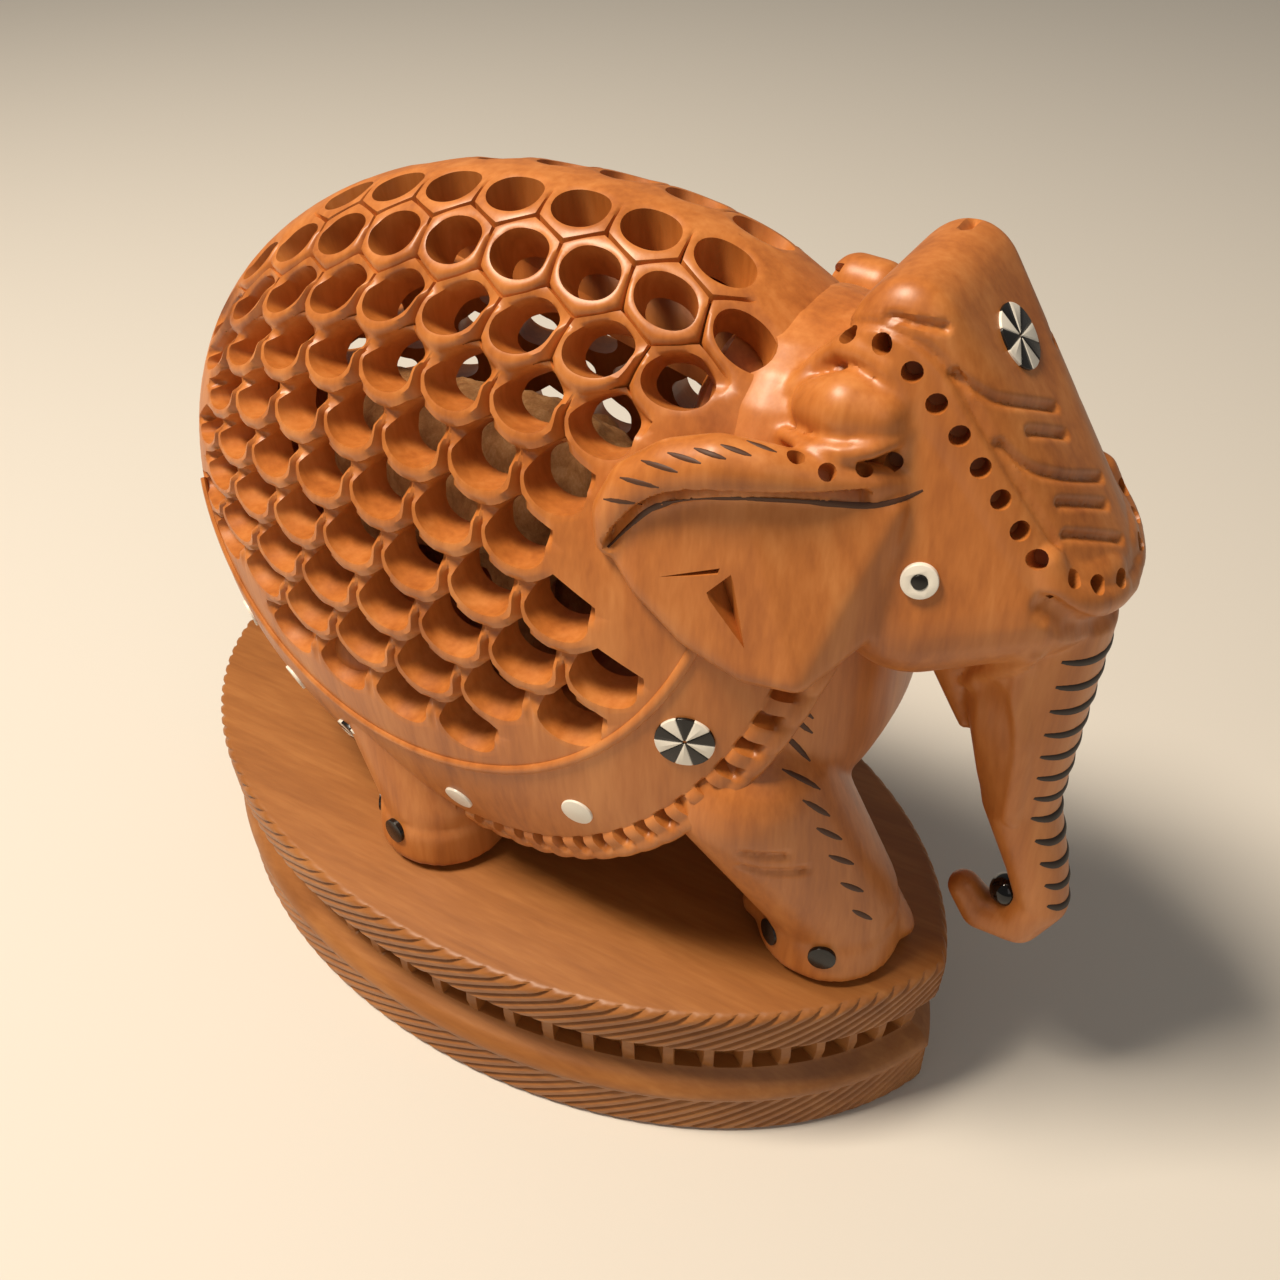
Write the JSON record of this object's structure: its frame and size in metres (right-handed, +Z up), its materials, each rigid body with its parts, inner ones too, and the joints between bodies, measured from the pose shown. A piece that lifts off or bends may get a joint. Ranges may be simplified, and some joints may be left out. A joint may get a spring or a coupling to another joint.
{
  "type": "carved elephant figurine",
  "caption": "Carved wooden elephant with an undercut lattice saddle cloth and a smaller figure inside, standing on a pointed oval pedestal, with round inlays.",
  "frame": {"origin": "middle of the pedestal's underside", "axes": "+X toward the elephant's head, +Y toward its left side, +Z up"},
  "size_m": [0.1628, 0.0844, 0.1331],
  "materials": {
    "carved_wood": "satin",
    "rough_wood": "matte",
    "white_inlay": "satin",
    "black_inlay": "gloss"
  },
  "bodies": {
    "root": {"elephant_body": "carved_wood", "pedestal": "carved_wood", "inner_elephant": "rough_wood", "eye_right": "white_inlay", "eye_left": "white_inlay", "forehead_roundel_white": "white_inlay", "front_roundel_right_white": "white_inlay", "front_roundel_left_white": "white_inlay", "rear_roundel_right_white": "white_inlay", "rear_roundel_left_white": "white_inlay", "studs_right": "white_inlay", "studs_left": "white_inlay", "trunk_ball": "black_inlay", "pupil_right": "black_inlay", "pupil_left": "black_inlay", "forehead_roundel_black": "black_inlay", "front_roundel_right_black": "black_inlay", "front_roundel_left_black": "black_inlay", "rear_roundel_right_black": "black_inlay", "rear_roundel_left_black": "black_inlay", "nails_front_right": "black_inlay", "nails_front_left": "black_inlay", "nails_rear_right": "black_inlay", "nails_rear_left": "black_inlay"}
  },
  "joints": []
}
